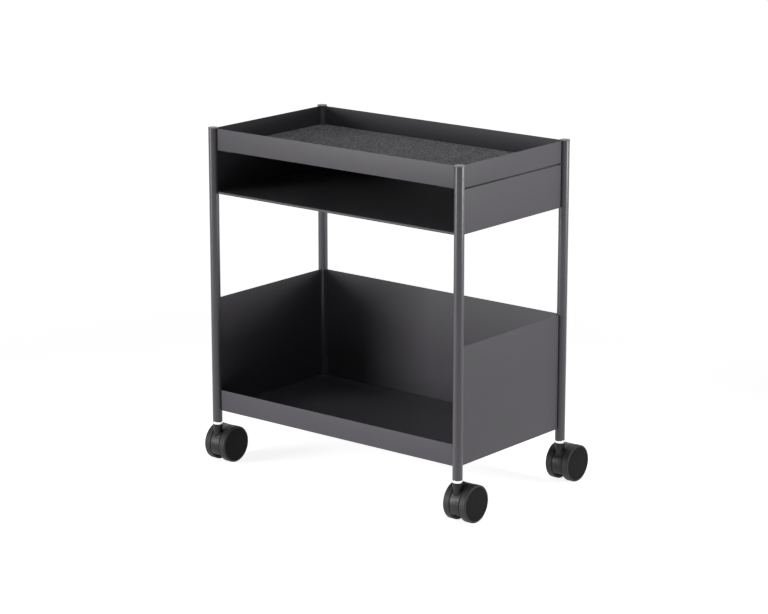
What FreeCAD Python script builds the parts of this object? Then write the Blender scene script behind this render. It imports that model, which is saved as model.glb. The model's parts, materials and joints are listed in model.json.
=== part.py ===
"""Rolling utility cart: four tube posts on twin-wheel casters carry a shallow
top tray, an open-fronted cubby and a deep bin.  Millimetres, +Z up, the open
front faces -Y.  The origin is on the floor, at the middle of the whole
footprint.  One STEP file is written for each sub-part."""

import FreeCAD, Part
import math
import os

from FreeCAD import Vector

os.makedirs("parts", exist_ok=True)

# ---------------------------------------------------------------- posts
POST_SPACING_X = 562.0
POST_SPACING_Y = 304.0
POST_DIAMETER = 18.0
POST_WALL = 1.2
COLLAR_HEIGHT = 5.0        # bright collar between the hood and the post

CAP_FLANGE = 1.6
CAP_OVERHANG = 0.6         # flange edge beyond the tube
CAP_PLUG_DEPTH = 12.0
CAP_PLUG_WALL = 1.8
CAP_EDGE = 0.5
PLUG_CLEARANCE = 0.05      # between a plug or sleeve and the tube's bore

# ---------------------------------------------------------------- sheet boxes
SHEET = 1.5
CORNER_GAP = 1.0           # between a wall's end and the post
RETURN_DEPTH = 3.0         # end of a wall folded inwards, from its outer face
BEND_RADIUS = 1.9          # outside of the fold

BIN_CLEARANCE = 22.5       # bin's underside above the foot of the posts
BIN_LIP_HEIGHT = 39.0
BIN_WALL_HEIGHT = 212.5
BIN_FLOOR_RISE = 3.0       # floor's top face above the walls' lower edge

BAY_HEIGHT = 197.0         # open bay from the bin's walls to the cubby
CUBBY_HEIGHT = 78.0
CUBBY_FLOOR_RISE = 4.0

TRAY_GAP = 2.7             # slit between the cubby's walls and the tray
TRAY_WALL_HEIGHT = 39.1
TRAY_FLOOR_RISE = 2.0

FELT_THICKNESS = 2.5
FELT_MARGIN = 0.8          # between the felt's edge and the walls
FELT_POST_MARGIN = 1.5     # between the felt and each post

# ---------------------------------------------------------------- fixings
EAR_THICKNESS = 2.5
EAR_LEG = 46.0             # reach of an ear from the post's centre line
EAR_CHAMFER = 20.0
EAR_WALL_MARGIN = 0.35     # between an ear and the folded wall ends
STUD_DIAMETER = 5.0
STUD_INSET = 35.0          # stud from the post's centre line, along X and Y
STUD_TAIL = 1.5            # stud showing past its nut
STUD_HOLE_CLEARANCE = 0.25
NUT_HEIGHT = 4.7
NUT_ACROSS_FLATS = 8.0
NUT_FLANGE_DIAMETER = 11.8
NUT_FLANGE_THICKNESS = 1.2
NUT_THREAD_CLEARANCE = 0.05

# ---------------------------------------------------------------- casters
WHEEL_DIAMETER = 68.0
WHEEL_WIDTH = 13.1
CASTER_TRAIL = 23.5        # wheel axle behind the swivel axis
HOOD_WIDTH = 20.6
HOOD_TREAD_STEP = 0.4      # hood's drum below the tread
HOOD_SKIN = 2.5
HOOD_WEB = 6.0
HOOD_FLOOR_GAP = 17.0      # hood's lower edge above the floor
HOOD_EDGE = 0.8
AXLE_BOSS_RADIUS = 8.5
SIDE_GAP = 0.8             # between the hood and each wheel
NECK_GAP = 0.3             # between the hood's neck and the collar
NECK_RISE = 6.7            # neck's top above the wheels
NECK_TOP_RADIUS = 9.6
NECK_FOOT_RADIUS = 5.8     # where the neck runs into the drum
NECK_LENGTH = 23.0
STEM_BOSS_RADIUS = 7.0     # around the stem, inside the drum
STEM_BOSS_FLOOR = 2.5

COLLAR_STEP = 0.1          # collar's edge inside the post's outline
COLLAR_EDGE = 0.9
STEM_JOURNAL_DIAMETER = 8.0
STEM_JOURNAL_LENGTH = 30.0
STEM_PIN_DIAMETER = 9.5
STEM_PIN_LENGTH = 30.0
STEM_CHAMFER = 1.0
RUNNING_CLEARANCE = 0.05   # radial, on the swivel and on the axle
STEM_END_GAP = 0.3

SOCKET_LENGTH = 38.0
GRIP_RING_HEIGHT = 1.9
GRIP_RING_THICKNESS = 1.0
GRIP_RING_PLACE = 23.0     # above the collar
GRIP_RING_SPLIT = 1.6
GRIP_GROOVE_SLACK = 0.1
FIXED_CLEARANCE = 0.02     # radial, on pieces that are pressed together

AXLE_DIAMETER = 6.0
AXLE_END_GAP = 0.5
HUB_FACE = 2.5             # thickness of the smooth outer disc
HUB_BOSS_RADIUS = 7.5
HUB_RIM = 3.0
HUB_EDGE = 0.6
TREAD_THICKNESS = 3.6
TREAD_SHOULDER = 1.6       # rounding of the outer shoulder
TREAD_INNER_EDGE = 1.0

# ---------------------------------------------------------------- worked out
POST_RADIUS = POST_DIAMETER / 2
POST_BORE_RADIUS = POST_RADIUS - POST_WALL
WHEEL_RADIUS = WHEEL_DIAMETER / 2
HOOD_RADIUS = WHEEL_RADIUS - HOOD_TREAD_STEP

NECK_TOP = WHEEL_DIAMETER + NECK_RISE
COLLAR_BOTTOM = NECK_TOP + NECK_GAP
POST_FOOT = COLLAR_BOTTOM + COLLAR_HEIGHT

BIN_BOTTOM = POST_FOOT + BIN_CLEARANCE
CUBBY_BOTTOM = BIN_BOTTOM + BIN_WALL_HEIGHT + BAY_HEIGHT
TRAY_BOTTOM = CUBBY_BOTTOM + CUBBY_HEIGHT + TRAY_GAP
TRAY_TOP = TRAY_BOTTOM + TRAY_WALL_HEIGHT
POST_HEIGHT = TRAY_TOP - POST_FOOT

# The wheels trail behind the posts, so the posts stand that far forward.
POST_CENTRE_Y = -CASTER_TRAIL

CORNERS = {
    "front_left": (-1, -1),
    "front_right": (1, -1),
    "back_right": (1, 1),
    "back_left": (-1, 1),
}
SIDES = {"left": -1, "right": 1}
X_AXIS = Vector(1, 0, 0)
Z_AXIS = Vector(0, 0, 1)


def save(shape, node):
    """Writes one sub-part."""
    shape.exportStep("parts/" + node + ".step")


def post_place(corner):
    """Centre line of a post, at floor level."""
    side_x, side_y = CORNERS[corner]
    x = side_x * POST_SPACING_X / 2
    y = POST_CENTRE_Y + side_y * POST_SPACING_Y / 2
    return Vector(x, y, 0)


def disc(radius, height, bottom):
    """Upright cylinder on the Z axis."""
    return Part.makeCylinder(radius, height, Vector(0, 0, bottom))


def block(x_range, y_range, z_range):
    """Box between three pairs of limits."""
    lengths = [high - low for low, high in (x_range, y_range, z_range)]
    corner = Vector(x_range[0], y_range[0], z_range[0])
    return Part.makeBox(*lengths, corner)


def vertical_edges(shape, y):
    """Upright edges of a box that lie at one y."""
    chosen = []
    for edge in shape.Edges:
        low, high = edge.Vertexes[0].Point, edge.Vertexes[-1].Point
        upright = abs(low.x - high.x) + abs(low.y - high.y) < 1e-6
        if upright and abs(low.y - y) < 1e-6:
            chosen.append(edge)
    return chosen


def rim_edges(shape, axis, places, radius):
    """Circular edges of one radius at the given places along an axis."""
    chosen = []
    for edge in shape.Edges:
        curve = edge.Curve
        if not isinstance(curve, Part.Circle):
            continue
        place = curve.Center.dot(axis)
        if abs(curve.Radius - radius) > 1e-4:
            continue
        if any(abs(place - wanted) < 1e-4 for wanted in places):
            chosen.append(edge)
    return chosen


# ---------------------------------------------------------------- posts
def make_post():
    """Tube, open at both ends."""
    tube = disc(POST_RADIUS, POST_HEIGHT, POST_FOOT)
    bore = disc(POST_BORE_RADIUS, POST_HEIGHT, POST_FOOT)
    return tube.cut(bore)


def make_cap():
    """Flat disc on a hollow plug that fits the tube's bore."""
    flange_radius = POST_RADIUS + CAP_OVERHANG
    flange = disc(flange_radius, CAP_FLANGE, TRAY_TOP)
    top = rim_edges(flange, Z_AXIS, [TRAY_TOP + CAP_FLANGE], flange_radius)
    flange = flange.makeFillet(CAP_EDGE, top)
    plug_radius = POST_BORE_RADIUS - PLUG_CLEARANCE
    plug_bottom = TRAY_TOP - CAP_PLUG_DEPTH
    plug = disc(plug_radius, CAP_PLUG_DEPTH, plug_bottom)
    hollow = disc(plug_radius - CAP_PLUG_WALL, CAP_PLUG_DEPTH, plug_bottom)
    return flange.fuse(plug.cut(hollow)).removeSplitter()


# ---------------------------------------------------------------- sheet boxes
def folded_wall(post_spacing, height):
    """Sheet wall along X between two posts, its ends folded inwards to +Y.
    Its middle plane is at y = 0 and its lower edge at z = 0."""
    half = post_spacing / 2 - POST_RADIUS - CORNER_GAP
    outer_face = -SHEET / 2
    inner_face = SHEET / 2
    fold_end = outer_face + RETURN_DEPTH
    outside = block((-half, half), (outer_face, fold_end), (0, height))
    outside = outside.makeFillet(BEND_RADIUS, vertical_edges(outside, outer_face))
    reach = half - SHEET
    inside = block((-reach, reach), (inner_face, fold_end + SHEET), (0, height))
    inner_radius = BEND_RADIUS - SHEET
    inside = inside.makeFillet(inner_radius, vertical_edges(inside, inner_face))
    return outside.cut(inside)


def box_floor(bottom, rise):
    """Floor plate inside the walls, notched around the four posts."""
    half_x = POST_SPACING_X / 2 - SHEET / 2
    half_y = POST_SPACING_Y / 2 - SHEET / 2
    level = bottom + rise - SHEET
    plate = block((-half_x, half_x), (-half_y, half_y), (level, level + SHEET))
    plate.translate(Vector(0, POST_CENTRE_Y, 0))
    for corner in CORNERS:
        notch = disc(POST_RADIUS + CORNER_GAP, 2 * SHEET, level - SHEET / 2)
        plate = plate.cut(notch.translated(post_place(corner)))
    return plate


def sheet_box(bottom, rise, front, side, back):
    """Floor and four folded walls, each wall with its own height."""
    walls = [
        (front, POST_SPACING_X, POST_SPACING_Y, 0),
        (side, POST_SPACING_Y, POST_SPACING_X, 90),
        (back, POST_SPACING_X, POST_SPACING_Y, 180),
        (side, POST_SPACING_Y, POST_SPACING_X, 270),
    ]
    shell = box_floor(bottom, rise)
    for height, along, across, turn in walls:
        wall = folded_wall(along, height)
        wall.translate(Vector(0, -across / 2, bottom))
        wall.rotate(Vector(0, 0, 0), Z_AXIS, turn)
        wall.translate(Vector(0, POST_CENTRE_Y, 0))
        shell = shell.fuse(wall)
    return shell.removeSplitter()


def make_felt():
    """Flat mat on the tray's floor, its corners cut around the posts."""
    half_x = POST_SPACING_X / 2 - SHEET / 2 - FELT_MARGIN
    half_y = POST_SPACING_Y / 2 - SHEET / 2 - FELT_MARGIN
    bottom = TRAY_BOTTOM + TRAY_FLOOR_RISE
    top = bottom + FELT_THICKNESS
    mat = block((-half_x, half_x), (-half_y, half_y), (bottom, top))
    mat.translate(Vector(0, POST_CENTRE_Y, 0))
    fold = POST_RADIUS + CORNER_GAP + SHEET + FELT_MARGIN
    depth = RETURN_DEPTH - SHEET / 2 + FELT_MARGIN
    for corner, (side_x, side_y) in CORNERS.items():
        round_notch = disc(POST_RADIUS + FELT_POST_MARGIN, 2 * FELT_THICKNESS, bottom - 1)
        z_range = (bottom - 1, top + 1)
        along_x = block((-fold, fold), (-depth, depth), z_range)
        along_y = block((-depth, depth), (-fold, fold), z_range)
        notch = round_notch.fuse(along_x).fuse(along_y)
        mat = mat.cut(notch.translated(post_place(corner)))
    return mat


# ---------------------------------------------------------------- fixings
def stud_place(corner):
    """Centre line of the stud beside a post, at floor level."""
    side_x, side_y = CORNERS[corner]
    return post_place(corner) - Vector(side_x * STUD_INSET, side_y * STUD_INSET, 0)


def make_ear(corner, level):
    """Corner plate under a floor, welded to the post, with a stud hole."""
    side_x, side_y = CORNERS[corner]
    near = RETURN_DEPTH - SHEET / 2 + EAR_WALL_MARGIN
    far = EAR_LEG
    cut = EAR_LEG - EAR_CHAMFER
    outline = [(near, near), (far, near), (far, cut), (cut, far), (near, far)]
    points = [Vector(-side_x * u, -side_y * v, level - EAR_THICKNESS) for u, v in outline]
    face = Part.Face(Part.makePolygon(points + points[:1]))
    plate = face.extrude(Vector(0, 0, EAR_THICKNESS))
    plate.translate(post_place(corner))
    tall = 2 * EAR_THICKNESS
    low = level - 1.5 * EAR_THICKNESS
    plate = plate.cut(disc(POST_RADIUS, tall, low).translated(post_place(corner)))
    hole_radius = STUD_DIAMETER / 2 + STUD_HOLE_CLEARANCE
    return plate.cut(disc(hole_radius, tall, low).translated(stud_place(corner)))


def make_stud(corner, level):
    """Threaded stud, welded to the underside of a floor."""
    length = EAR_THICKNESS + NUT_HEIGHT + STUD_TAIL
    stud = disc(STUD_DIAMETER / 2, length, level - length)
    return stud.translated(stud_place(corner))


def make_nut(corner, level):
    """Flange nut under an ear."""
    top = level - EAR_THICKNESS
    across_corners = NUT_ACROSS_FLATS / math.cos(math.pi / 6)
    points = []
    for step in range(7):
        angle = step * math.pi / 3
        x = across_corners / 2 * math.cos(angle)
        y = across_corners / 2 * math.sin(angle)
        points.append(Vector(x, y, top - NUT_HEIGHT))
    body = Part.Face(Part.makePolygon(points)).extrude(Vector(0, 0, NUT_HEIGHT))
    flange_radius = NUT_FLANGE_DIAMETER / 2
    flange = disc(flange_radius, NUT_FLANGE_THICKNESS, top - NUT_FLANGE_THICKNESS)
    thread = disc(STUD_DIAMETER / 2 + NUT_THREAD_CLEARANCE, NUT_HEIGHT, top - NUT_HEIGHT)
    return body.fuse(flange).cut(thread).translated(stud_place(corner))


def fixing_groups(name, bottom, rise):
    """Ears, studs and nuts of one box, each kind a group of four solids."""
    level = bottom + rise - SHEET
    kinds = {"ears": make_ear, "studs": make_stud, "nuts": make_nut}
    for kind, make in kinds.items():
        group = Part.makeCompound([make(corner, level) for corner in CORNERS])
        save(group, name + "_" + kind)


# ---------------------------------------------------------------- casters
def make_socket():
    """Plastic sleeve in the foot of a post, with a recess for the ring."""
    sleeve = disc(POST_BORE_RADIUS - PLUG_CLEARANCE, SOCKET_LENGTH, POST_FOOT)
    bore_radius = STEM_PIN_DIAMETER / 2 + FIXED_CLEARANCE
    bore = disc(bore_radius, SOCKET_LENGTH, POST_FOOT)
    recess_height = GRIP_RING_HEIGHT + 2 * GRIP_GROOVE_SLACK
    recess_bottom = POST_FOOT + GRIP_RING_PLACE - GRIP_GROOVE_SLACK
    recess = disc(grip_ring_radius() + FIXED_CLEARANCE, recess_height, recess_bottom)
    return sleeve.cut(bore).cut(recess)


def grip_groove_radius():
    """Floor of the stem's groove."""
    return STEM_PIN_DIAMETER / 2 - GRIP_RING_THICKNESS / 2


def grip_ring_radius():
    """Outside of the spring ring."""
    return grip_groove_radius() + FIXED_CLEARANCE + GRIP_RING_THICKNESS


def make_grip_ring():
    """Split spring ring in the stem's groove."""
    bottom = POST_FOOT + GRIP_RING_PLACE
    ring = disc(grip_ring_radius(), GRIP_RING_HEIGHT, bottom)
    inner = disc(grip_groove_radius() + FIXED_CLEARANCE, GRIP_RING_HEIGHT, bottom)
    half_split = GRIP_RING_SPLIT / 2
    z_range = (bottom, bottom + GRIP_RING_HEIGHT)
    split = block((-half_split, half_split), (0, POST_RADIUS), z_range)
    return ring.cut(inner).cut(split)


def make_stem():
    """Turned stem: pin for the post, bright collar, journal for the hood."""
    pin_top = POST_FOOT + STEM_PIN_LENGTH
    pin_radius = STEM_PIN_DIAMETER / 2
    pin = disc(pin_radius, STEM_PIN_LENGTH, POST_FOOT)
    pin = pin.makeChamfer(STEM_CHAMFER, rim_edges(pin, Z_AXIS, [pin_top], pin_radius))
    groove_height = GRIP_RING_HEIGHT + 2 * GRIP_GROOVE_SLACK
    groove_bottom = POST_FOOT + GRIP_RING_PLACE - GRIP_GROOVE_SLACK
    groove = disc(pin_radius, groove_height, groove_bottom)
    groove = groove.cut(disc(grip_groove_radius(), groove_height, groove_bottom))
    collar_radius = POST_RADIUS - COLLAR_STEP
    collar = disc(collar_radius, COLLAR_HEIGHT, COLLAR_BOTTOM)
    ends = [COLLAR_BOTTOM, POST_FOOT]
    collar = collar.makeFillet(COLLAR_EDGE, rim_edges(collar, Z_AXIS, ends, collar_radius))
    journal_bottom = COLLAR_BOTTOM - STEM_JOURNAL_LENGTH
    journal_radius = STEM_JOURNAL_DIAMETER / 2
    journal = disc(journal_radius, STEM_JOURNAL_LENGTH, journal_bottom)
    end = rim_edges(journal, Z_AXIS, [journal_bottom], journal_radius)
    journal = journal.makeChamfer(STEM_CHAMFER, end)
    return pin.cut(groove).fuse(collar).fuse(journal).removeSplitter()


def lying_disc(radius, width, start):
    """Cylinder along X on the wheels' axle line, from x = start."""
    centre = Vector(start, CASTER_TRAIL, WHEEL_RADIUS)
    return Part.makeCylinder(radius, width, centre, X_AXIS)


def make_neck():
    """Tapered neck above the drum, and the stem's boss inside the drum."""
    foot = NECK_TOP - NECK_LENGTH
    place = Vector(0, 0, foot)
    neck = Part.makeCone(NECK_FOOT_RADIUS, NECK_TOP_RADIUS, NECK_LENGTH, place)
    rim = rim_edges(neck, Z_AXIS, [NECK_TOP], NECK_TOP_RADIUS)
    neck = neck.makeFillet(HOOD_EDGE, rim)
    boss_bottom = COLLAR_BOTTOM - STEM_JOURNAL_LENGTH - STEM_END_GAP - STEM_BOSS_FLOOR
    boss = disc(STEM_BOSS_RADIUS, NECK_TOP - boss_bottom, boss_bottom)
    inside_drum = lying_disc(HOOD_RADIUS - HOOD_SKIN / 2, HOOD_WIDTH, -HOOD_WIDTH / 2)
    return neck.fuse(boss.common(inside_drum))


def make_hood():
    """Drum between the wheels with a centre web, and a neck for the stem."""
    half = HOOD_WIDTH / 2
    drum = lying_disc(HOOD_RADIUS, HOOD_WIDTH, -half)
    edges = rim_edges(drum, X_AXIS, [-half, half], HOOD_RADIUS)
    drum = drum.makeFillet(HOOD_EDGE, edges)
    pocket_depth = (HOOD_WIDTH - HOOD_WEB) / 2
    for start in (-half, half - pocket_depth):
        pocket = lying_disc(HOOD_RADIUS - HOOD_SKIN, pocket_depth, start)
        pocket = pocket.cut(lying_disc(AXLE_BOSS_RADIUS, pocket_depth, start))
        drum = drum.cut(pocket)
    reach = WHEEL_DIAMETER
    below = block((-reach, reach), (-reach, reach), (-reach, HOOD_FLOOR_GAP))
    hood = drum.cut(below).fuse(make_neck())
    bore_bottom = COLLAR_BOTTOM - STEM_JOURNAL_LENGTH - STEM_END_GAP
    bore_radius = STEM_JOURNAL_DIAMETER / 2 + RUNNING_CLEARANCE
    hood = hood.cut(disc(bore_radius, NECK_TOP - bore_bottom, bore_bottom))
    axle_bore = lying_disc(AXLE_DIAMETER / 2 + FIXED_CLEARANCE, HOOD_WIDTH, -half)
    return hood.cut(axle_bore).removeSplitter()


def wheel_inner_face():
    """Distance of a wheel's inner face from the caster's middle."""
    return HOOD_WIDTH / 2 + SIDE_GAP


def make_axle():
    """Plain pin through the hood and both wheels."""
    half = wheel_inner_face() + WHEEL_WIDTH - HUB_FACE - AXLE_END_GAP
    return lying_disc(AXLE_DIAMETER / 2, 2 * half, -half)


def make_hub(side):
    """Moulded wheel body: smooth outer disc, rim and bored boss."""
    hub_radius = WHEEL_RADIUS - TREAD_THICKNESS
    inner = wheel_inner_face()
    outer = inner + WHEEL_WIDTH
    depth = WHEEL_WIDTH - HUB_FACE
    body = lying_disc(hub_radius, WHEEL_WIDTH, inner)
    body = body.makeFillet(HUB_EDGE, rim_edges(body, X_AXIS, [outer], hub_radius))
    pocket = lying_disc(hub_radius - HUB_RIM, depth, inner)
    pocket = pocket.cut(lying_disc(HUB_BOSS_RADIUS, depth, inner))
    bore = lying_disc(AXLE_DIAMETER / 2 + RUNNING_CLEARANCE, depth, inner)
    return turned_to_side(body.cut(pocket).cut(bore), side)


def make_tread(side):
    """Tread band around a hub, with a rounded outer shoulder."""
    inner = wheel_inner_face()
    outer = inner + WHEEL_WIDTH
    band = lying_disc(WHEEL_RADIUS, WHEEL_WIDTH, inner)
    band = band.makeFillet(TREAD_SHOULDER, rim_edges(band, X_AXIS, [outer], WHEEL_RADIUS))
    edges = rim_edges(band, X_AXIS, [inner], WHEEL_RADIUS)
    band = band.makeFillet(TREAD_INNER_EDGE, edges)
    seat_radius = WHEEL_RADIUS - TREAD_THICKNESS + FIXED_CLEARANCE
    seat = lying_disc(seat_radius, WHEEL_WIDTH, inner)
    return turned_to_side(band.cut(seat), side)


def turned_to_side(shape, side):
    """The right wheel as it is, or turned half round for the left side."""
    if SIDES[side] < 0:
        shape.rotate(Vector(0, CASTER_TRAIL, 0), Z_AXIS, 180)
    return shape


# ---------------------------------------------------------------- build
for corner in CORNERS:
    place = post_place(corner)
    save(make_post().translated(place), "post_" + corner)
    save(make_cap().translated(place), "post_cap_" + corner)
    save(make_socket().translated(place), "caster_socket_" + corner)
    save(make_stem().translated(place), "caster_stem_" + corner)
    save(make_hood().translated(place), "caster_hood_" + corner)
    save(make_axle().translated(place), "caster_axle_" + corner)
    for side in SIDES:
        save(make_hub(side).translated(place), "wheel_hub_" + corner + "_" + side)
        save(make_tread(side).translated(place), "wheel_tread_" + corner + "_" + side)

rings = [make_grip_ring().translated(post_place(corner)) for corner in CORNERS]
save(Part.makeCompound(rings), "grip_rings")

tray_walls = (TRAY_WALL_HEIGHT, TRAY_WALL_HEIGHT, TRAY_WALL_HEIGHT)
save(sheet_box(TRAY_BOTTOM, TRAY_FLOOR_RISE, *tray_walls), "top_tray")
save(make_felt(), "felt_liner")
cubby_walls = (CUBBY_FLOOR_RISE, CUBBY_HEIGHT, CUBBY_HEIGHT)
save(sheet_box(CUBBY_BOTTOM, CUBBY_FLOOR_RISE, *cubby_walls), "cubby_shell")
bin_walls = (BIN_LIP_HEIGHT, BIN_WALL_HEIGHT, BIN_WALL_HEIGHT)
save(sheet_box(BIN_BOTTOM, BIN_FLOOR_RISE, *bin_walls), "bin_shell")

fixing_groups("tray", TRAY_BOTTOM, TRAY_FLOOR_RISE)
fixing_groups("cubby", CUBBY_BOTTOM, CUBBY_FLOOR_RISE)
fixing_groups("bin", BIN_BOTTOM, BIN_FLOOR_RISE)
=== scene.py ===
# %% [markdown]
# # Rolling utility cart
# This cart is four round steel posts with three sheet-metal boxes between them:
# a shallow tray with a felt mat, a low cubby under it, and a deep bin. Each post
# stands on a caster with two wheels. The CAD frame holds the true sizes and the
# joints, and this script dresses it: it models the folded sheet, the turned and
# moulded pieces and the felt as meshes, and gives each one its finish.

# %% Load the frame
import json
import math

import bmesh
import bpy
import numpy as np
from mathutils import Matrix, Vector


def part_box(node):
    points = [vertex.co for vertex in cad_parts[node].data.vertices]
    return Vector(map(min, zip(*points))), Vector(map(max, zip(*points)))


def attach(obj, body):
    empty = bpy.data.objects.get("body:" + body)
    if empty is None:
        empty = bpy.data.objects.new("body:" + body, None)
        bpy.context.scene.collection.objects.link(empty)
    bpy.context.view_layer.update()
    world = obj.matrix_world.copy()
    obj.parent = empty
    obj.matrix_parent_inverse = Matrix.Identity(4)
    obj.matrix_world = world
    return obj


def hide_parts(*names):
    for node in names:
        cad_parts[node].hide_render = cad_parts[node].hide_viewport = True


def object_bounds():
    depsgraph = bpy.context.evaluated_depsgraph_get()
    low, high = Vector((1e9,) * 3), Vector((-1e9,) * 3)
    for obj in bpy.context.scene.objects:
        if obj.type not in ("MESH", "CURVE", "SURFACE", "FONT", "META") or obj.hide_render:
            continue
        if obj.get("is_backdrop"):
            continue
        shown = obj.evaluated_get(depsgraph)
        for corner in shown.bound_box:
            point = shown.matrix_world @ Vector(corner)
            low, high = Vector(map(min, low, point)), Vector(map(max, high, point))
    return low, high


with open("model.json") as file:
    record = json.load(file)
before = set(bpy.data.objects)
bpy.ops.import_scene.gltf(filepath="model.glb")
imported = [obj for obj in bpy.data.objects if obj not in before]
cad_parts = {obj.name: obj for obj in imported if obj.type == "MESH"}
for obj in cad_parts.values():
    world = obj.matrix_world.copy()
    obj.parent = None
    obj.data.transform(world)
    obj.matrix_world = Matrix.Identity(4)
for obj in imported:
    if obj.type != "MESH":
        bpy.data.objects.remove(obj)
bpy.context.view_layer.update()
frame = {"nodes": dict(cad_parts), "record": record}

MM = 0.001

# %% [markdown]
# Places come from the frame. A post is as wide as its node's box, and the four
# posts give the corners between which every box of sheet metal is folded.

# %% Measure the frame
CORNERS = ("front_left", "front_right", "back_right", "back_left")
SIDES = {"left": -1, "right": 1}


def centre_of(node):
    """Middle of a node's box, in metres."""
    low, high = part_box(node)
    return (low + high) / 2


post_low, post_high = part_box("post_front_right")
POST_RADIUS = (post_high.x - post_low.x) / 2
POST_FOOT = post_low.z
POST_TOP = post_high.z
POSTS = {corner: centre_of("post_" + corner) for corner in CORNERS}
SPACING_X = POSTS["front_right"].x - POSTS["front_left"].x
SPACING_Y = POSTS["back_right"].y - POSTS["front_right"].y
CENTRE_Y = (POSTS["back_right"].y + POSTS["front_right"].y) / 2
print("posts", round(SPACING_X / MM), "by", round(SPACING_Y / MM), "mm apart,",
      round(2 * POST_RADIUS / MM, 1), "mm thick")

# %% [markdown]
# ## From arrays to a mesh
# Every new piece is a patch or a few: a grid of points, worked out as a whole
# numpy array, and the quads that join neighbours. One function numbers the
# quads, one gathers patches into a mesh, welds the seams and turns the faces
# outwards. Modifiers could do some of this, but arrays keep the shape's formula
# in sight.

# %% Grids, patches and pieces
def grid_quads(rows, columns, close_rows=False, close_columns=False):
    """Quads of a rows x columns grid. Point (i, j) has number i * columns + j,
    and each quad joins it to its next row and next column. A closed direction
    joins the last row or column back to the first."""
    i = np.arange(rows if close_rows else rows - 1)
    j = np.arange(columns if close_columns else columns - 1)
    i, j = np.meshgrid(i, j, indexing="ij")
    down, along = (i + 1) % rows, (j + 1) % columns
    corners = (i * columns + j, down * columns + j,
               down * columns + along, i * columns + along)
    return np.stack([c.ravel() for c in corners], axis=1)


def grid_patch(points, close_rows=False, close_columns=False, ends=False):
    """A patch from points of shape (rows, columns, 3). With ends, the first and
    the last row are each filled with one face, so a tube becomes a solid."""
    rows, columns, _ = points.shape
    faces = grid_quads(rows, columns, close_rows, close_columns).tolist()
    if ends:
        faces.append(list(range(columns)))
        faces.append([(rows - 1) * columns + k for k in reversed(range(columns))])
    return points.reshape(-1, 3), faces


WELD = 1e-6
SHARP_ANGLE = math.radians(32)


def make_piece(name, patches, sharp=SHARP_ANGLE):
    """One mesh object at the origin from several patches. Points closer than
    WELD become one, and the normals are turned outwards."""
    points, faces, start = [], [], 0
    for patch_points, patch_faces in patches:
        points.append(patch_points)
        faces += [[start + k for k in face] for face in patch_faces]
        start += len(patch_points)
    mesh = bpy.data.meshes.new(name)
    mesh.from_pydata(np.concatenate(points).tolist(), [], faces)
    tidy_mesh(mesh)
    mesh.shade_smooth()
    mesh.set_sharp_from_angle(angle=sharp)
    piece = bpy.data.objects.new(name, mesh)
    bpy.context.scene.collection.objects.link(piece)
    return piece


def tidy_mesh(mesh):
    """Welds doubled points, drops flat faces and turns all faces outwards."""
    work = bmesh.new()
    work.from_mesh(mesh)
    bmesh.ops.remove_doubles(work, verts=work.verts, dist=WELD)
    bmesh.ops.dissolve_degenerate(work, edges=work.edges, dist=WELD)
    bmesh.ops.recalc_face_normals(work, faces=work.faces)
    work.to_mesh(mesh)
    work.free()


# %% [markdown]
# Most edges on this cart are small rounds. So an outline is written as its few
# corner points with a radius each, and one function puts the arcs in.

# %% Rounded outlines
ARC_STEPS = 6


def rounded(corners, radii, steps=ARC_STEPS):
    """Closed outline in the plane whose corners are arcs. The arc in a corner
    with turn t and radius r starts r * tan(t / 2) before the corner and ends as
    far after it. Its middle is r from both sides. Returns an (n, 2) array."""
    corners = np.asarray(corners, float)
    radii = np.broadcast_to(np.asarray(radii, float), len(corners))
    before = corners - np.roll(corners, 1, axis=0)
    after = np.roll(corners, -1, axis=0) - corners
    before /= np.linalg.norm(before, axis=1, keepdims=True)
    after /= np.linalg.norm(after, axis=1, keepdims=True)
    cross = before[:, 0] * after[:, 1] - before[:, 1] * after[:, 0]
    turn = np.arctan2(cross, (before * after).sum(axis=1))
    reach = radii * np.tan(np.abs(turn) / 2)
    side = np.sign(turn)[:, None] * np.stack([-before[:, 1], before[:, 0]], axis=1)
    middle = corners - before * reach[:, None] + side * radii[:, None]
    swept = turn[:, None] * np.linspace(0, 1, steps + 1)[None, :]
    cos, sin = np.cos(swept)[..., None], np.sin(swept)[..., None]
    arm = -side[:, None, :] * radii[:, None, None]
    crossed = np.stack([-arm[..., 1], arm[..., 0]], axis=-1)
    return (middle[:, None, :] + cos * arm + sin * crossed).reshape(-1, 2)


def lathe(profile, centre, axis="z", segments=96):
    """Surface of revolution. A profile point (r, h) goes round a circle of
    radius r at height h: centre + r * (cos a, sin a) across the axis + h along
    it. The profile is closed, so the result is a ring or a solid."""
    angle = np.arange(segments) * 2 * np.pi / segments
    r, h = profile[:, 0][None, :], profile[:, 1][None, :]
    across = r * np.cos(angle)[:, None]
    round_ = r * np.sin(angle)[:, None]
    along = np.broadcast_to(h, across.shape)
    order = {"z": (across, round_, along), "x": (along, across, round_)}[axis]
    points = np.stack(order, axis=-1) + np.asarray(centre, float)
    return grid_patch(points, close_rows=True, close_columns=True)


# %% [markdown]
# ## Finishes
# A finish is a node tree: a base colour with a little drift, a roughness that
# varies, and a bump at the true scale of the surface. The patterns read Object
# coordinates, which are metres in the frame, so a scale of 800 means a grain of
# about a millimetre.

# %% Building a finish
def srgb(level):
    """Linear value of an sRGB level from 0 to 255."""
    c = level / 255
    return c / 12.92 if c <= 0.04045 else ((c + 0.055) / 1.055) ** 2.4


def colour(red, green, blue):
    """Linear colour from three sRGB levels."""
    return (srgb(red), srgb(green), srgb(blue), 1.0)


PATTERN_LOW, PATTERN_HIGH = 0.3, 0.7   # where nearly all of a noise lies


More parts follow.
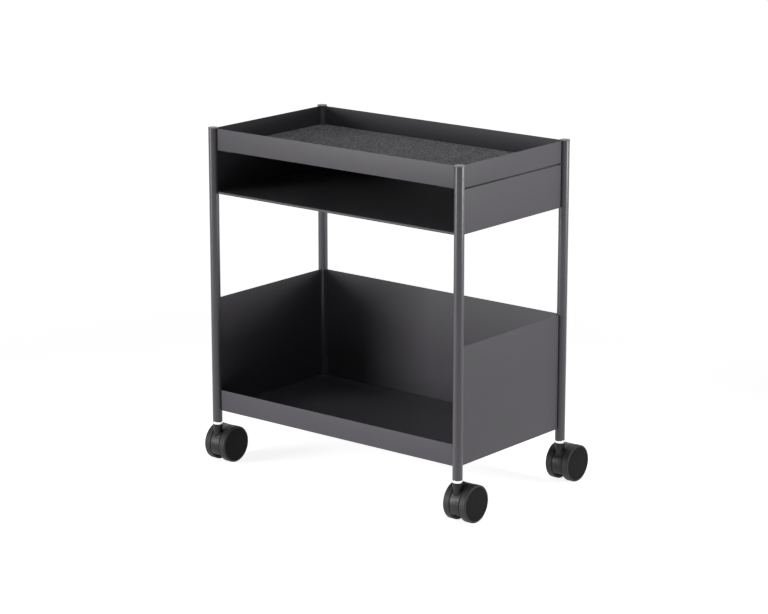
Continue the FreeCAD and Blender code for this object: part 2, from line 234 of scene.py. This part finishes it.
class Finish:
    """A material with a Principled shader and helpers that wire nodes to it."""

    def __init__(self, name):
        self.material = bpy.data.materials.new(name)
        self.material.use_nodes = True
        self.nodes = self.material.node_tree.nodes
        self.links = self.material.node_tree.links
        self.shader = self.nodes["Principled BSDF"]
        self.place = self.nodes.new("ShaderNodeTexCoord").outputs["Object"]

    def noise(self, scale, detail=3.0, roughness=0.55):
        """Cloudy pattern from 0 to 1 with features of about 1 / scale metres."""
        node = self.nodes.new("ShaderNodeTexNoise")
        node.inputs["Scale"].default_value = scale
        node.inputs["Detail"].default_value = detail
        node.inputs["Roughness"].default_value = roughness
        self.links.new(self.place, node.inputs["Vector"])
        return node.outputs["Fac"]

    def ramp(self, source, low, high, start=PATTERN_LOW, end=PATTERN_HIGH):
        """Turns a pattern into a colour or value between low and high."""
        node = self.nodes.new("ShaderNodeValToRGB")
        node.color_ramp.elements[0].position = start
        node.color_ramp.elements[1].position = end
        node.color_ramp.elements[0].color = low
        node.color_ramp.elements[1].color = high
        self.links.new(source, node.inputs["Fac"])
        return node.outputs["Color"]

    def spread(self, source, low, high):
        """Maps a pattern's usual range onto low to high."""
        node = self.nodes.new("ShaderNodeMapRange")
        node.inputs["From Min"].default_value = PATTERN_LOW
        node.inputs["From Max"].default_value = PATTERN_HIGH
        node.inputs["To Min"].default_value = low
        node.inputs["To Max"].default_value = high
        self.links.new(source, node.inputs["Value"])
        return node.outputs["Result"]

    def bump(self, height, depth, strength=1.0, under=None):
        """Tilts the surface as if height raised it by depth metres."""
        node = self.nodes.new("ShaderNodeBump")
        node.inputs["Strength"].default_value = strength
        node.inputs["Distance"].default_value = depth
        self.links.new(height, node.inputs["Height"])
        if under is not None:
            self.links.new(under, node.inputs["Normal"])
        return node.outputs["Normal"]

    def set(self, **values):
        """Sets shader sockets, or links them where a value is a node output."""
        for key, value in values.items():
            socket = self.shader.inputs[key.replace("_", " ")]
            if isinstance(value, bpy.types.NodeSocket):
                self.links.new(value, socket)
            else:
                socket.default_value = value
        return self.material


# %% [markdown]
# ** Powder coat.** The steel is baked with a satin graphite powder. It levels
# into a very fine orange peel, so it has no brush marks and its highlights are
# soft-edged. Two noises do it: a slow one that drifts the colour a touch over
# a panel, and a fine one of 0.7 mm for the peel. The tube is a little glossier
# than the sheet. The ears under the boxes get a much darker coat, which is
# painted shade for the shadow they sit in, so that their edges don't stand out.

# %% Powder coat
DRIFT_SCALE = 9.0
PEEL_SCALE = 1400.0
PEEL_DEPTH = 0.00004


def powder_coat(name, level, smooth, shine):
    """Satin powder coat around one grey level, with a slight violet cast."""
    finish = Finish(name)
    drift = finish.noise(DRIFT_SCALE, detail=2.0)
    peel = finish.noise(PEEL_SCALE, detail=2.0)
    dark = colour(level - 1.5, level - 3.5, level + 1)
    light = colour(level + 1.5, level - 1, level + 4.5)
    return finish.set(
        Base_Color=finish.ramp(drift, dark, light),
        Roughness=finish.spread(peel, smooth, smooth + 0.1),
        Normal=finish.bump(peel, PEEL_DEPTH, 0.35),
        Specular_IOR_Level=shine,
    )


SHEET_COAT = powder_coat("powder_coat_sheet", 84, 0.36, 0.22)
POST_COAT = powder_coat("powder_coat_tube", 81, 0.27, 0.42)
# Painted shade: the ears' coat is dark to stand in for the shadow under the boxes.
EAR_PAINTED_SHADE_COAT = powder_coat("powder_coat_ear_painted_shade", 30, 0.4, 0.1)

# %% [markdown]
# **Felt.** The mat is pressed wool in mixed greys, so up close it is a
# scatter of lighter and darker flecks of 1 to 3 mm with a matt, slightly fuzzy
# face. Two noises of different grain mix the flecks, a third one roughens the
# nap, and sheen gives the fuzz.

# %% Felt
FLECK_SCALE, TUFT_SCALE, NAP_SCALE = 270.0, 120.0, 2600.0
TUFT_SHARE = 0.25
FLECK_DARK, FLECK_LIGHT = colour(4, 4, 5), colour(104, 104, 107)
FLECK_START, FLECK_END = 0.42, 0.61
FLECK_DEPTH, NAP_DEPTH = 0.0009, 0.0003


def heather_felt(name):
    """Dark grey wool felt with lighter flecks."""
    finish = Finish(name)
    fleck = finish.noise(FLECK_SCALE, detail=3.0, roughness=0.6)
    tuft = finish.noise(TUFT_SCALE, detail=3.0, roughness=0.6)
    nap = finish.noise(NAP_SCALE, detail=3.0, roughness=0.7)
    mixed = finish.nodes.new("ShaderNodeMix")
    mixed.data_type = "FLOAT"
    mixed.inputs["Factor"].default_value = TUFT_SHARE
    finish.links.new(fleck, mixed.inputs[2])
    finish.links.new(tuft, mixed.inputs[3])
    mixed = mixed.outputs[0]
    shade = finish.ramp(mixed, FLECK_DARK, FLECK_LIGHT, FLECK_START, FLECK_END)
    rough = finish.bump(nap, NAP_DEPTH, 0.6)
    return finish.set(
        Base_Color=shade,
        Roughness=0.95,
        Normal=finish.bump(mixed, FLECK_DEPTH, 0.7, under=rough),
        Specular_IOR_Level=0.15,
        Sheen_Weight=0.2,
        Sheen_Roughness=0.5,
    )


FELT = heather_felt("heather_felt")

# %% [markdown]
# **Moulded plastic, rubber and metal.** Hoods and wheel discs are black nylon
# with a fine spark-eroded grain, the treads are a softer and lighter grey-black,
# the collars are bright plate, and the hidden fixings are dull zinc.

# %% Plastic, rubber and metal
def moulded(name, level, roughness, grain, depth, specular=0.5):
    """Moulded surface: nearly black, with a grain of 1 / grain metres."""
    finish = Finish(name)
    skin = finish.noise(grain, detail=3.0)
    dark = colour(level - 3, level - 3, level - 2)
    light = colour(level + 3, level + 2, level + 4)
    return finish.set(
        Base_Color=finish.ramp(finish.noise(60.0), dark, light),
        Roughness=finish.spread(skin, roughness - 0.05, roughness + 0.07),
        Normal=finish.bump(skin, depth, 0.4),
        Specular_IOR_Level=specular,
    )


def bare_metal(name, tint, roughness, grain):
    """Plated metal with faint variation in its polish."""
    finish = Finish(name)
    haze = finish.noise(grain, detail=4.0)
    return finish.set(
        Base_Color=tint,
        Metallic=1.0,
        Roughness=finish.spread(haze, roughness * 0.7, roughness * 1.4),
        Normal=finish.bump(haze, 0.00001, 0.2),
    )


HOOD_PLASTIC = moulded("hood_plastic", 22, 0.40, 1800.0, 0.00005, specular=0.3)
DISC_PLASTIC = moulded("disc_plastic", 10, 0.5, 1800.0, 0.00005, specular=0.08)
TREAD_RUBBER = moulded("tread_rubber", 40, 0.55, 1200.0, 0.00006, specular=0.3)
CAP_PLASTIC = moulded("cap_plastic", 92, 0.36, 1500.0, 0.00003)
SLEEVE_PLASTIC = moulded("sleeve_plastic", 34, 0.5, 1500.0, 0.00004)
BRIGHT_PLATE = bare_metal("bright_plate", (0.86, 0.86, 0.87, 1.0), 0.12, 300.0)
ZINC = bare_metal("zinc_steel", (0.22, 0.22, 0.23, 1.0), 0.5, 900.0)
print(len(bpy.data.materials), "finishes made")

# %% [markdown]
# ## Giving pieces to the frame
# A piece rides on its node's body and takes one finish, and the node it stands for is
# hidden.

# %% Fitting a piece to the frame
BODIES = frame["record"]["behaviour"]["bodies"]
BODY_OF = {node: body for body, members in BODIES.items() for node in members}


def stand_for(piece, node, finish):
    """The piece takes the node's place and body, in the given finish, and the node is
    hidden.
    """
    piece.data.materials.clear()
    piece.data.materials.append(finish)
    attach(piece, BODY_OF[node])
    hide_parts(node)


def coat_node(node, finish):
    """A CAD node that stays gets its finish."""
    materials = frame["nodes"][node].data.materials
    for index in range(len(materials)):
        materials[index] = finish
    if not len(materials):
        materials.append(finish)


# %% [markdown]
# ## Folded sheet boxes
# Each wall is one strip of 1.5 mm sheet. It runs between two posts, and its
# ends fold inwards by 3 mm so that no raw edge faces the post. As a surface it
# is a profile carried along a path: the profile is the sheet's section with
# rounded rims, and the path is the fold line seen from above.

# %% A folded wall
SHEET = 1.5 * MM
GAP_TO_POST = 1.0 * MM
FOLD_DEPTH = 3.0 * MM
FOLD_RADIUS = 1.15 * MM
RIM_RADIUS = 0.35 * MM


def fold_path(length):
    """Middle line of a wall's section seen from above, and its outward side.
    It starts at one folded end, turns a quarter round onto y = 0, runs along X,
    and turns back in. Returns points and unit normals, both (n, 2)."""
    half = length / 2 - SHEET / 2
    depth = FOLD_DEPTH - SHEET / 2
    turn = np.linspace(0, np.pi / 2, 2 * ARC_STEPS + 1)
    bend = FOLD_RADIUS * np.stack([1 - np.cos(turn), 1 - np.sin(turn)], axis=1)
    left = bend + [-half, 0.0]
    left_side = np.stack([-np.cos(turn), -np.sin(turn)], axis=1)
    start = np.array([[-half, depth]])
    points = np.concatenate([start, left, left[::-1] * [-1, 1], start * [-1, 1]])
    outward = np.array([[-1.0, 0.0]])
    sides = [outward, left_side, left_side[::-1] * [-1, 1], outward * [-1, 1]]
    return points, np.concatenate(sides)


def wall_patch(post_spacing, across, bottom, height, turn):
    """A folded wall. Section point (n, z) at path point p goes to p + n * side,
    z, then the wall moves out by half of across and turns round the cart."""
    path, side = fold_path(post_spacing - 2 * (POST_RADIUS + GAP_TO_POST))
    t = SHEET / 2
    section = rounded([(-t, 0), (t, 0), (t, height), (-t, height)], RIM_RADIUS)
    plan = path[:, None, :] + side[:, None, :] * section[None, :, :1]
    z = np.broadcast_to(section[None, :, 1:] + bottom, plan[..., :1].shape)
    points = np.concatenate([plan, z], axis=-1)
    points[..., 1] -= across / 2
    cos, sin = math.cos(turn), math.sin(turn)
    x, y = points[..., 0].copy(), points[..., 1].copy()
    points[..., 0] = x * cos - y * sin
    points[..., 1] = x * sin + y * cos + CENTRE_Y
    return grid_patch(points, close_columns=True, ends=True)


# %% [markdown]
# The floor is one plate whose corners are cut around the posts. Its outline has
# four straight edges and four arcs that curve inwards around the post centres.

# %% A notched floor
def notched_outline(half_x, half_y, radius, steps=12):
    """Rectangle whose corners are bitten off by circles around the posts.
    Around each post centre the arc runs from where the circle meets one edge to
    where it meets the next: the angles whose sine is the edge's inset over the
    radius."""
    inset_x = (SPACING_X / 2 - half_x) / radius
    inset_y = (SPACING_Y / 2 - half_y) / radius
    first, last = math.pi + math.asin(inset_y), 1.5 * math.pi - math.asin(inset_x)
    angle = np.linspace(first, last, steps + 1)
    arc = radius * np.stack([np.cos(angle), np.sin(angle)], axis=1)
    corner = arc + [SPACING_X / 2, SPACING_Y / 2]
    pieces = [corner[::-1], corner * [-1, 1], -corner[::-1], corner * [1, -1]]
    return np.concatenate(pieces)


PLATE_EASE = 0.3 * MM


def plate_patch(outline, bottom, top):
    """Plate between two levels: the outline at four heights, the outer two drawn
    in by PLATE_EASE so that the edges are eased, and both ends filled."""
    shrink = 1 - PLATE_EASE / np.abs(outline).max()
    levels = [(bottom, shrink), (bottom + PLATE_EASE, 1.0),
              (top - PLATE_EASE, 1.0), (top, shrink)]
    rings = [np.column_stack([outline * scale, np.full(len(outline), z)])
             for z, scale in levels]
    points = np.stack(rings)
    points[..., 1] += CENTRE_Y
    return grid_patch(points, close_columns=True, ends=True)


def floor_patch(bottom, rise):
    """Floor of a box, its top face above the walls' lower edge by rise."""
    half_x, half_y = (SPACING_X - SHEET) / 2, (SPACING_Y - SHEET) / 2
    outline = notched_outline(half_x, half_y, POST_RADIUS + GAP_TO_POST)
    top = bottom + rise
    return plate_patch(outline, top - SHEET, top)


# %% [markdown]
# Walls and floor together stand for one node each. The front wall's height is
# what tells the boxes apart: a full wall on the tray, a 4 mm lip on the cubby
# and a low lip on the bin.

# %% The three boxes
BOX_SHAPES = {
    "top_tray": {"rise": 2.0 * MM, "front": None},
    "cubby_shell": {"rise": 4.0 * MM, "front": 4.0 * MM},
    "bin_shell": {"rise": 3.0 * MM, "front": 39.0 * MM},
}

for node, shape in BOX_SHAPES.items():
    low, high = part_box(node)
    full = high.z - low.z
    front = shape["front"] or full
    walls = [(front, SPACING_X, SPACING_Y, 0.0),
             (full, SPACING_Y, SPACING_X, math.pi / 2),
             (full, SPACING_X, SPACING_Y, math.pi),
             (full, SPACING_Y, SPACING_X, -math.pi / 2)]
    patches = [floor_patch(low.z, shape["rise"])]
    for height, along, across, turn in walls:
        patches.append(wall_patch(along, across, low.z, height, turn))
    box = make_piece(node + "_sheet", patches)
    stand_for(box, node, SHEET_COAT)
    print(node, "walls are", round(full / MM, 1), "mm high, the front",
          round(front / MM, 1))

# %% [markdown]
# ## Posts and caps
# The posts are plain tube with a slightly eased end, and each is closed by a
# flat cap that stands a hair wider than the tube. Both are turned shapes, so a
# lathe function makes them from a half section.

# %% Posts and caps
TUBE_WALL = 1.2 * MM
POST_BORE = POST_RADIUS - TUBE_WALL
EASE = 0.35 * MM
CAP_EDGE = 0.5 * MM
CAP_LOWER_EDGE = 0.2 * MM
CAP_PLUG_WALL = 1.8 * MM
CAP_PLUG_GAP = 0.05 * MM
CAP_PLUG_EDGE = 0.3 * MM

post_section = rounded([(POST_BORE, POST_FOOT), (POST_RADIUS, POST_FOOT),
                        (POST_RADIUS, POST_TOP), (POST_BORE, POST_TOP)], EASE)
cap_low, cap_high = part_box("post_cap_front_right")
CAP_RADIUS = (cap_high.x - cap_low.x) / 2
plug = POST_BORE - CAP_PLUG_GAP
cap_section = rounded(
    [(0, POST_TOP), (plug - CAP_PLUG_WALL, POST_TOP), (plug - CAP_PLUG_WALL, cap_low.z),
     (plug, cap_low.z), (plug, POST_TOP), (CAP_RADIUS, POST_TOP),
     (CAP_RADIUS, cap_high.z), (0, cap_high.z)],
    [0, 0, CAP_PLUG_EDGE, CAP_PLUG_EDGE, 0, CAP_LOWER_EDGE, CAP_EDGE, 0])

for corner, place in POSTS.items():
    middle = (place.x, place.y, 0)
    tube = lathe(post_section, middle, segments=128)
    post = make_piece("post_tube_" + corner, [tube])
    stand_for(post, "post_" + corner, POST_COAT)
    turned_cap = lathe(cap_section, middle, segments=96)
    cap = make_piece("post_end_cap_" + corner, [turned_cap])
    stand_for(cap, "post_cap_" + corner, CAP_PLASTIC)

# %% [markdown]
# ## The felt mat
# The mat is a single cut of felt that lies loose on the tray's floor. It is
# modelled as a fine grid with square notches at the posts. Its face rises and
# falls by up to 0.16 mm, and the sheet is then given its thickness.

# %% The felt mat
felt_low, felt_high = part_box("felt_liner")
NOTCH = 11.0 * MM
FELT_CELL = 1.9 * MM
FELT_RELIEF = 0.16 * MM
NOTCH_CELLS = 6
COARSE_CELL, FINE_CELL = 0.0045, 0.0021
COARSE_SHARE, FINE_SHARE = 0.6, 0.4


def value_noise(x, y, cell, seed):
    """Smooth random heights from -1 to 1: random values on a lattice of the
    given cell, blended across each cell by the smoothstep 3t^2 - 2t^3."""
    rng = np.random.default_rng(seed)
    i, j = x / cell, y / cell
    i0, j0 = np.floor(i).astype(int), np.floor(j).astype(int)
    lattice = rng.uniform(-1, 1, (i0.max() - i0.min() + 2, j0.max() - j0.min() + 2))
    u, v = i - i0, j - j0
    u, v = u * u * (3 - 2 * u), v * v * (3 - 2 * v)
    a, b = i0 - i0.min(), j0 - j0.min()
    low = lattice[a, b] * (1 - u) + lattice[a + 1, b] * u
    high = lattice[a, b + 1] * (1 - u) + lattice[a + 1, b + 1] * u
    return low * (1 - v) + high * v


def felt_grid():
    """Face of the mat: an even grid, its height the sum of two value noises.
    Quads whose middle lies in a corner notch are left out."""
    wide, deep = felt_high.x - felt_low.x, felt_high.y - felt_low.y
    columns = int(round(wide / FELT_CELL))
    rows = int(round(deep / FELT_CELL))
    x = spaced(felt_low.x, felt_high.x, columns)
    y = spaced(felt_low.y, felt_high.y, rows)
    x, y = np.meshgrid(x, y, indexing="ij")
    relief = (COARSE_SHARE * value_noise(x, y, COARSE_CELL, seed=11)
              + FINE_SHARE * value_noise(x, y, FINE_CELL, seed=12))
    z = felt_high.z - FELT_RELIEF + FELT_RELIEF * relief
    points = np.stack([x, y, z], axis=-1)
    quads = grid_quads(*x.shape)
    middle = points.reshape(-1, 3)[quads].mean(axis=1)
    from_x = np.minimum(middle[:, 0] - felt_low.x, felt_high.x - middle[:, 0])
    from_y = np.minimum(middle[:, 1] - felt_low.y, felt_high.y - middle[:, 1])
    kept = (from_x > NOTCH) | (from_y > NOTCH)
    return points.reshape(-1, 3), quads[kept].tolist()


def spaced(low, high, count):
    """Even places from low to high with one exactly at each notch's edge."""
    inner = np.linspace(low + NOTCH, high - NOTCH, count + 1 - 2 * NOTCH_CELLS)
    edge = np.linspace(0, NOTCH, NOTCH_CELLS + 1)[:-1]
    return np.concatenate([low + edge, inner, (high - edge)[::-1]])


mat = make_piece("felt_mat", [felt_grid()], sharp=math.radians(60))
thick = mat.modifiers.new("thickness", "SOLIDIFY")
thick.thickness = (felt_high.z - felt_low.z) - 2 * FELT_RELIEF
thick.offset = -1.0
stand_for(mat, "felt_liner", FELT)

# %% [markdown]
# ## Casters
# A wheel is two turned pieces: the moulded body with its smooth outer disc, and
# the tread around it. The section shows all: a tread with two small shoulders,
# the outer one a little larger, a fine groove where it meets the disc, and a disc
# that is very slightly domed.

# %% Wheels
tread_low, tread_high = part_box("wheel_tread_front_right_right")
WHEEL_RADIUS = (tread_high.z - tread_low.z) / 2
WHEEL_WIDTH = tread_high.x - tread_low.x
hub_low, hub_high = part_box("wheel_hub_front_right_right")
HUB_RADIUS = (hub_high.z - hub_low.z) / 2
SHOULDER = 1.6 * MM
INNER_EDGE = 1.0 * MM
GROOVE = 0.5 * MM
HUB_PLATE = 2.5 * MM
HUB_RIM = 3.0 * MM
HUB_BOSS = 7.5 * MM
AXLE_BORE = 3.05 * MM
HUB_GAP = 0.03 * MM
HUB_EDGE = 0.3 * MM
HUB_CORNER = 0.5 * MM
DOME = 0.5 * MM
DOME_RINGS = 14
TREAD_SEAM = 0.1 * MM

tread_section = rounded(
    [(HUB_RADIUS, 0), (WHEEL_RADIUS, 0), (WHEEL_RADIUS, WHEEL_WIDTH),
     (HUB_RADIUS, WHEEL_WIDTH)],
    [TREAD_SEAM, INNER_EDGE, SHOULDER, GROOVE], steps=10)


def hub_section():
    """Half section of the wheel body. The outer face is a shallow dome: it
    drops from the middle by DOME * (r / R)^2."""
    rim = HUB_RADIUS - HUB_GAP
    inside = HUB_RADIUS - HUB_RIM
    back = rounded(
        [(AXLE_BORE, 0), (HUB_BOSS, 0), (HUB_BOSS, WHEEL_WIDTH - HUB_PLATE),
         (inside, WHEEL_WIDTH - HUB_PLATE), (inside, 0), (rim, 0),
         (rim, WHEEL_WIDTH - DOME), (0, WHEEL_WIDTH - DOME),
         (0, WHEEL_WIDTH - HUB_PLATE), (AXLE_BORE, WHEEL_WIDTH - HUB_PLATE)],
        [HUB_EDGE, HUB_EDGE, HUB_CORNER, HUB_CORNER, HUB_EDGE, HUB_EDGE,
         GROOVE, 0, 0, 0])
    face = back[:, 1] > WHEEL_WIDTH - DOME - 1e-7
    radius = np.linspace(back[face, 0].max(), 0, DOME_RINGS)
    height = WHEEL_WIDTH - DOME * (radius / back[face, 0].max()) ** 2
    first = np.argmax(face)
    last = len(face) - np.argmax(face[::-1])
    domed = np.column_stack([radius, height])
    return np.concatenate([back[:first], domed, back[last:]])


HUB_SECTION = hub_section()


def wheel_parts(corner, side):
    """Tread and body of one wheel, turned on the axle line."""
    low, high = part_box("wheel_tread_" + corner + "_" + side)
    sign = SIDES[side]
    inner = low.x if sign > 0 else high.x
    middle = (inner, (low.y + high.y) / 2, (low.z + high.z) / 2)
    parts = {"tread": tread_section, "hub": HUB_SECTION}
    for kind, section in parts.items():
        turned = section * [1, sign]
        name = "wheel_" + kind + "_" + corner + "_" + side
        skin = lathe(turned, middle, axis="x", segments=128)
        piece = make_piece(name + "_skin", [skin])
        stand_for(piece, name, TREAD_RUBBER if kind == "tread" else DISC_PLASTIC)


for corner in CORNERS:
    for side in SIDES:
        wheel_parts(corner, side)
print("eight wheels of", round(2 * WHEEL_RADIUS / MM), "mm")

# %% [markdown]
# A hood and its stem keep the frame's exact shape. Their faces come as separate
# triangles, which shade flat, so a copy is welded and smoothed: a crease stays
# wherever two faces meet at more than SHARP_ANGLE.

# %% Hoods and stems
def smooth_copy(node, finish):
    """Makes a welded, smooth-shaded copy of a node's mesh stand for the node."""
    mesh = frame["nodes"][node].data.copy()
    tidy_mesh(mesh)
    mesh.shade_smooth()
    mesh.set_sharp_from_angle(angle=SHARP_ANGLE)
    piece = bpy.data.objects.new(node + "_smooth", mesh)
    bpy.context.scene.collection.objects.link(piece)
    stand_for(piece, node, finish)


for corner in CORNERS:
    smooth_copy("caster_hood_" + corner, HOOD_PLASTIC)
    smooth_copy("caster_stem_" + corner, BRIGHT_PLATE)

# %% Hidden and small nodes
for node in frame["nodes"]:
    if node.startswith("caster_socket"):
        coat_node(node, SLEEVE_PLASTIC)
    elif node.startswith("caster_axle") or node == "grip_rings":
        coat_node(node, ZINC)
    elif node.endswith(("_studs", "_nuts")):
        coat_node(node, ZINC)
    elif node.endswith("_ears"):
        coat_node(node, EAR_PAINTED_SHADE_COAT)

# %% [markdown]
# ## Studio
# The cart stands on a white sweep. The floor and the world show white to the
# camera, and to the rays that shiny and clear surfaces send on. They light the
# cart only softly, so the graphite keeps its tone. The key is a low soft box at
# the left front. A low panel at the right, a little behind the cart, lights the
# right sides, and a weak lamp overhead lights the tray.
#
# The floor's glow rises with distance from the cart. It leaves room for the
# lamps' light near the cart and is fully white beyond their reach.

# %% Floor and world
def seen_ray(nodes, links):
    """1 for rays from the camera and for the ones that a glossy or a clear
    surface sends on, so that metal shows the white room too."""
    path = nodes.new("ShaderNodeLightPath")
    total = path.outputs["Is Camera Ray"]
    for kind in ("Is Glossy Ray", "Is Transmission Ray"):
        add = nodes.new("ShaderNodeMath")
        add.operation = "ADD"
        add.use_clamp = True
        links.new(total, add.inputs[0])
        links.new(path.outputs[kind], add.inputs[1])
        total = add.outputs[0]
    return total


REACH = 12.0
PAPER_WHITE = 0.90
GLOW_UNSEEN = 0.20        # strength that lights the cart
GLOW_NEAR, GLOW_FAR = 0.83, 1.0
NEAR, FAR = 0.6, 2.0      # metres from the origin
AMBIENT = 0.05

floor_mesh = bpy.data.meshes.new("floor")
floor_mesh.from_pydata([(-REACH, -REACH, 0), (REACH, -REACH, 0), (REACH, REACH, 0),
                        (-REACH, REACH, 0)], [], [(0, 1, 2, 3)])
floor = bpy.data.objects.new("floor", floor_mesh)
bpy.context.scene.collection.objects.link(floor)
floor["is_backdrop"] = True

paper = bpy.data.materials.new("studio_paper")
paper.use_nodes = True
nodes, links = paper.node_tree.nodes, paper.node_tree.links
matt = nodes["Principled BSDF"]
matt.inputs["Base Color"].default_value = (PAPER_WHITE, PAPER_WHITE, PAPER_WHITE, 1)
matt.inputs["Roughness"].default_value = 0.9
matt.inputs["Specular IOR Level"].default_value = 0.1
glow = nodes.new("ShaderNodeEmission")
glow.inputs["Color"].default_value = (1, 1, 1, 1)
away = nodes.new("ShaderNodeVectorMath")
away.operation = "LENGTH"
links.new(nodes.new("ShaderNodeTexCoord").outputs["Object"], away.inputs[0])
white = nodes.new("ShaderNodeMapRange")
white.inputs["From Min"].default_value = NEAR
white.inputs["From Max"].default_value = FAR
white.inputs["To Min"].default_value = GLOW_NEAR
white.inputs["To Max"].default_value = GLOW_FAR
links.new(away.outputs["Value"], white.inputs["Value"])
seen = nodes.new("ShaderNodeMapRange")
seen.inputs["To Min"].default_value = GLOW_UNSEEN
links.new(white.outputs["Result"], seen.inputs["To Max"])
links.new(seen_ray(nodes, links), seen.inputs["Value"])
links.new(seen.outputs["Result"], glow.inputs["Strength"])
both = nodes.new("ShaderNodeAddShader")
links.new(matt.outputs[0], both.inputs[0])
links.new(glow.outputs[0], both.inputs[1])
links.new(both.outputs[0], nodes["Material Output"].inputs["Surface"])
floor_mesh.materials.append(paper)

world = bpy.data.worlds.new("studio")
bpy.context.scene.world = world
world.use_nodes = True
nodes, links = world.node_tree.nodes, world.node_tree.links
sky = nodes["Background"]
sky.inputs["Color"].default_value = (1, 1, 1, 1)
level = nodes.new("ShaderNodeMapRange")
level.inputs["To Min"].default_value = AMBIENT
level.inputs["To Max"].default_value = 1.0
links.new(seen_ray(nodes, links), level.inputs["Value"])
links.new(level.outputs["Result"], sky.inputs["Strength"])

# %% Lamps
def soft_box(name, place, aim, width, height, power, spread):
    """Rectangular lamp that faces its aim and shines within spread degrees."""
    lamp = bpy.data.lights.new(name, "AREA")
    lamp.shape = "RECTANGLE"
    lamp.size, lamp.size_y, lamp.energy = width, height, power
    lamp.spread = math.radians(spread)
    lamp_object = bpy.data.objects.new(name, lamp)
    lamp_object.location = place
    direction = Vector(aim) - Vector(place)
    lamp_object.rotation_euler = direction.to_track_quat("-Z", "Y").to_euler()
    lamp_object.visible_camera = False
    bpy.context.scene.collection.objects.link(lamp_object)


soft_box("key_left_front", place=(-1.52, -2.62, 0.60), aim=(0.75, CENTRE_Y, -0.05),
         width=1.2, height=1.1, power=9.6, spread=62)
soft_box("right_panel", place=(2.6, 0.95, 0.50), aim=(-0.1, CENTRE_Y - 0.3, 1.10),
         width=1.2, height=0.5, power=10.5, spread=80)
soft_box("overhead", place=(0.1, CENTRE_Y, 1.9), aim=(0.1, CENTRE_Y, 0.6),
         width=0.9, height=0.5, power=1.6, spread=50)

# %% [markdown]
# ## Camera
# The camera stands well back with a long lens and looks down a little, so the
# cart's long side runs away gently to the left.

# %% Camera
FOCAL_LENGTH = 126.7      # millimetres, on a sensor 36 mm wide
SIDEWAYS, BACK, UP = 2.9975, 3.6913, 1.5174
LOOK_DOWN = math.radians(14.21)
TURN = math.radians(39.14)

lens = bpy.data.cameras.new("camera")
lens.sensor_width = 36.0
lens.lens = FOCAL_LENGTH
lens.clip_end = 60.0
camera = bpy.data.objects.new("camera", lens)
camera.location = (SIDEWAYS, CENTRE_Y - BACK, UP)
camera.rotation_euler = (math.pi / 2 - LOOK_DOWN, 0, TURN)
bpy.context.scene.collection.objects.link(camera)
bpy.context.scene.camera = camera
bpy.context.scene.view_settings.view_transform = "Standard"

# %% [markdown]
# ## Size
# The box around the visual model is printed at the end. The visual model
# has to stay inside the CAD model's box.

# %% Size of the visual model
low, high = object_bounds()
print("visual box", [round(x, 4) for x in low], [round(x, 4) for x in high])
